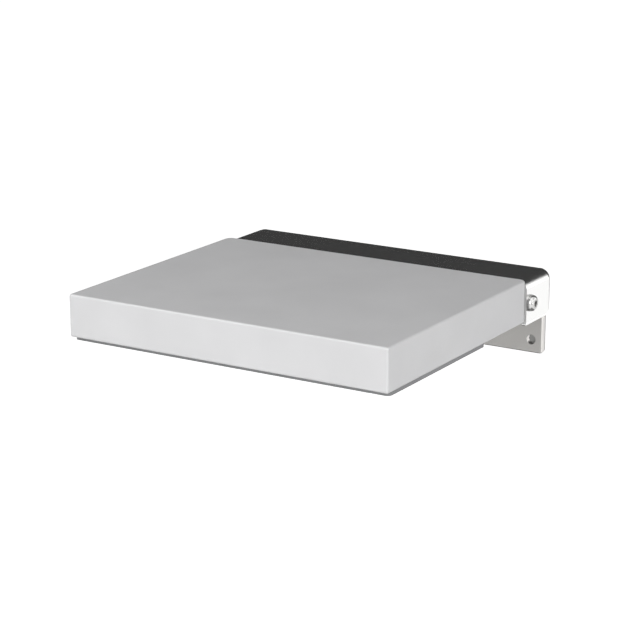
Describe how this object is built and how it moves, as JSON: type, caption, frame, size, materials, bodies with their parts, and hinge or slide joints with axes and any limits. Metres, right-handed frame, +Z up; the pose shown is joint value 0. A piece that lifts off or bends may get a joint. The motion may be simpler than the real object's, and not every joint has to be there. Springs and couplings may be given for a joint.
{
  "type": "fold down wall seat",
  "caption": "Fold-down wall seat: a flat rounded slab carried by a steel hinge hood that turns up on arms standing from a bolted wall plate.",
  "frame": {"origin": "middle of the four fixing holes, on the wall plane at the gasket's back face", "axes": "+X to the right of someone who faces the wall, +Y into the wall, +Z up, with the seat down"},
  "size_m": [0.3934, 0.372, 0.101],
  "materials": {
    "slab_polymer": "satin, fine moulded texture",
    "base_polymer": "matt",
    "board_wood": "raw plywood",
    "hood_steel": "satin",
    "plate_steel": "satin",
    "arm_steel": "satin",
    "gasket_rubber": "matt",
    "pad_rubber": "matt",
    "axle_steel": "ground",
    "sleeve_steel": "turned",
    "frame_steel": "rolled",
    "bush_polymer": "satin",
    "screw_steel": "bright",
    "insert_brass": "plain"
  },
  "bodies": {
    "wall_bracket": {"wall_plate": "plate_steel", "wall_gasket": "gasket_rubber", "right_arm": "arm_steel", "right_bush_inner": "bush_polymer", "right_bush_outer": "bush_polymer", "left_arm": "arm_steel", "left_bush_inner": "bush_polymer", "left_bush_outer": "bush_polymer"},
    "seat": {"seat_slab": "slab_polymer", "core_board": "board_wood", "base_plate": "base_polymer", "hinge_hood": "hood_steel", "hinge_axle": "axle_steel", "centre_sleeve": "sleeve_steel", "stop_bar": "frame_steel", "board_inserts": "insert_brass", "board_screws": "screw_steel", "rail_screws": "screw_steel", "block_screws": "screw_steel", "stop_bar_screws": "screw_steel", "right_pivot_screw": "screw_steel", "right_pivot_washer": "screw_steel", "right_outer_sleeve": "sleeve_steel", "right_inner_sleeve": "sleeve_steel", "right_thrust_washer": "bush_polymer", "right_hinge_block": "frame_steel", "right_seat_rail": "frame_steel", "right_stop_pad": "pad_rubber", "right_rest_pad": "pad_rubber", "left_pivot_screw": "screw_steel", "left_pivot_washer": "screw_steel", "left_outer_sleeve": "sleeve_steel", "left_inner_sleeve": "sleeve_steel", "left_thrust_washer": "bush_polymer", "left_hinge_block": "frame_steel", "left_seat_rail": "frame_steel", "left_stop_pad": "pad_rubber", "left_rest_pad": "pad_rubber"}
  },
  "joints": [
    {"name": "seat_fold", "type": "hinge", "parent": "wall_bracket", "child": "seat", "pos_m": [0, -0.06754, 0.028], "axis": [-1, 0, 0], "range_deg": [0, 94]}
  ]
}
